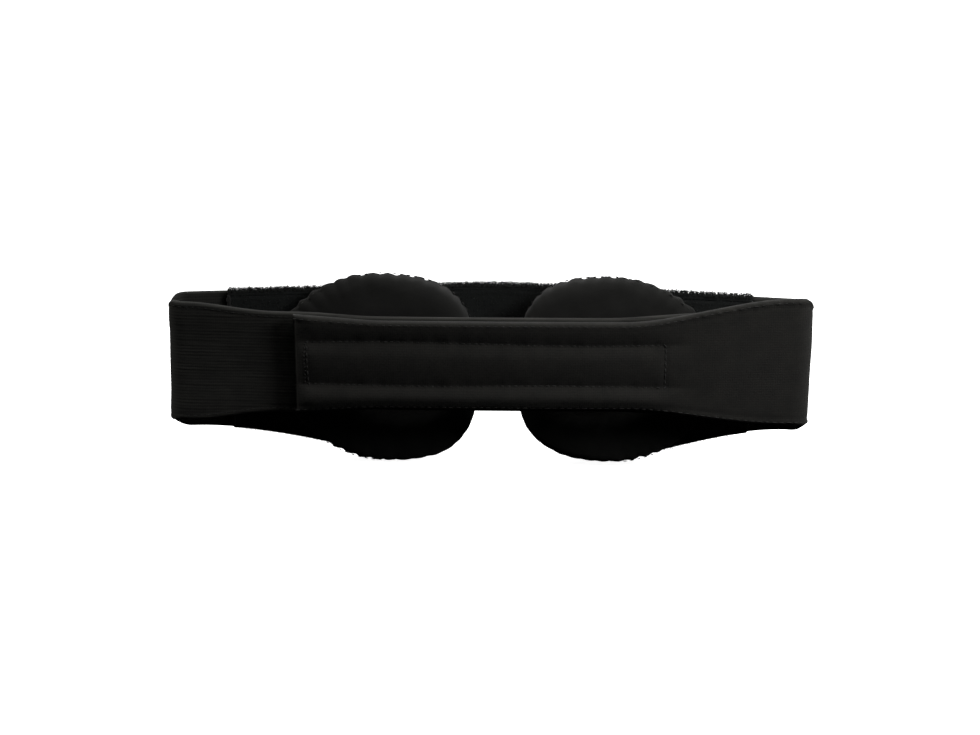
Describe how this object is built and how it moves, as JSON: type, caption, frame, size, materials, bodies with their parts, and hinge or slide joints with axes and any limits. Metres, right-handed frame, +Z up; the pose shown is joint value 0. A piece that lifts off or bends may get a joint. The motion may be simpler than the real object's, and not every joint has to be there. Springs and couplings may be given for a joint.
{
  "type": "sleep eye mask",
  "caption": "Contoured sleep eye mask: foam eye panel with two movable padded eye cups, and a back strap closed by hook and loop tape.",
  "frame": {"origin": "middle of the head loop: midway between the two side folds, level with the middle of the strap's width", "axes": "+Z up on the wearer, +Y the way the wearer faces (the eye panel is at +Y, the back strap at -Y), +X towards the wearer's right"},
  "size_m": [0.2297, 0.0369, 0.0685],
  "materials": {
    "brushed_knit": "brushed black polyester knit, matt",
    "strap_knit": "brushed black polyester knit, matt with a faint nap",
    "ribbed_loop_knit": "black loop-faced knit with fine ribs",
    "loop_pile": "black brushed loop pile",
    "cup_microfibre": "black peach-skin microfibre, matt",
    "binding": "black folded binding",
    "elastic": "woven elastic",
    "foam": "open-cell polyurethane foam",
    "board": "pressed EVA sheet",
    "nylon_hook": "black nylon hook tape",
    "thread": "spun polyester thread"
  },
  "bodies": {
    "face_band": {"front_cover": "brushed_knit", "front_foam": "foam", "loop_lining": "loop_pile", "top_edge_binding": "binding", "bottom_edge_binding": "binding", "left_side_seam": "binding", "right_side_seam": "binding", "left_strap_loop_face": "ribbed_loop_knit", "left_strap_elastic": "elastic", "left_strap_back": "brushed_knit", "left_strap_edge_seams": "brushed_knit", "left_strap_end_hem": "brushed_knit", "right_fold": "strap_knit"},
    "right_strap": {"right_strap_cover": "strap_knit", "right_strap_elastic": "elastic", "right_strap_back": "brushed_knit", "right_strap_edge_seams": "strap_knit", "right_strap_end_hem": "strap_knit", "hook_tape": "nylon_hook", "hook_tape_stitching": "thread"},
    "left_patch": {"left_hook_patch": "nylon_hook"},
    "left_cup": {"left_cup_board": "board", "left_cup_foam": "foam", "left_cup_cover": "cup_microfibre", "left_cup_piping": "binding"},
    "right_patch": {"right_hook_patch": "nylon_hook"},
    "right_cup": {"right_cup_board": "board", "right_cup_foam": "foam", "right_cup_cover": "cup_microfibre", "right_cup_piping": "binding"}
  },
  "joints": [
    {"name": "right_strap_swing", "type": "hinge", "parent": "face_band", "child": "right_strap", "pos_m": [0.1155, 0, 0], "axis": [0, 0, 1], "range_deg": [0, 150], "deforming": ["right_fold"]},
    {"name": "left_cup_slide", "type": "slide", "parent": "face_band", "child": "left_patch", "axis": [-0.9871, -0.1604, 0], "range_m": [-0.0025, 0.008]},
    {"name": "left_cup_turn", "type": "hinge", "parent": "left_patch", "child": "left_cup", "pos_m": [-0.04006, 0.01327, -0.0063], "axis": [0.1604, -0.9871, 0], "range_deg": [-12, 12]},
    {"name": "right_cup_slide", "type": "slide", "parent": "face_band", "child": "right_patch", "axis": [0.9853, -0.1706, 0], "range_m": [-0.0025, 0.008]},
    {"name": "right_cup_turn", "type": "hinge", "parent": "right_patch", "child": "right_cup", "pos_m": [0.04602, 0.01296, -0.0063], "axis": [-0.1706, -0.9853, 0], "range_deg": [-12, 12]}
  ]
}
